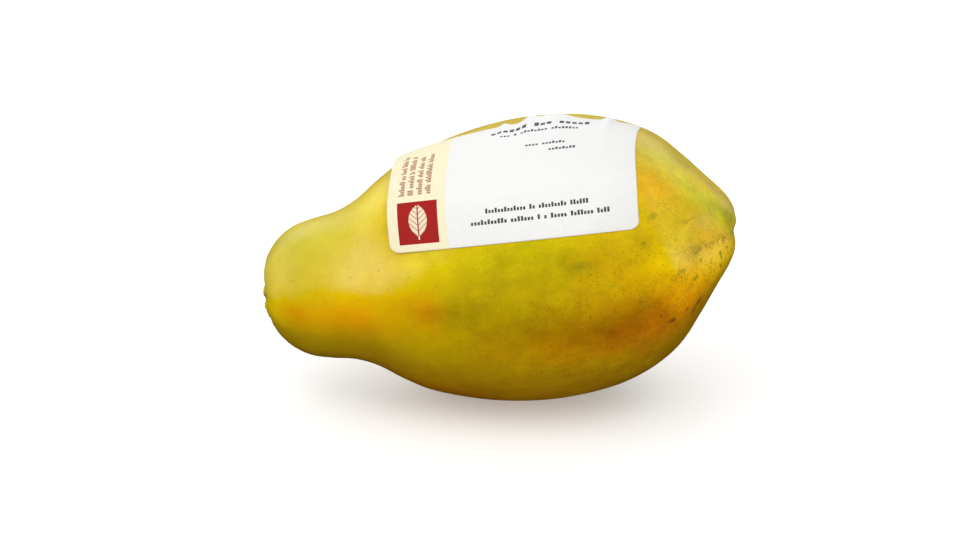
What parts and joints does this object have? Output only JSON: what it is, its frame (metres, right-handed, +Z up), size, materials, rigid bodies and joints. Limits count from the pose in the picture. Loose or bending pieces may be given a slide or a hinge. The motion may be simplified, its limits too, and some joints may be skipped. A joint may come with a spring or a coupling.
{
  "type": "papaya",
  "caption": "Ripe pear-shaped papaya lying on its side, yellow skin with green and orange areas, a plain paper label stuck over its upper front.",
  "frame": {"origin": "centre of the bounding box's bottom face, on the surface the fruit lies on", "axes": "+X along the fruit from its stem end to its blossom end, which lies higher; +Z up; -Y towards the labelled front"},
  "size_m": [0.1634, 0.0994, 0.1014],
  "materials": {
    "skin": "waxy, semi-gloss",
    "label_paper": "smooth, uncoated"
  },
  "bodies": {
    "root": {"papaya": "skin", "label": "label_paper"}
  },
  "joints": []
}
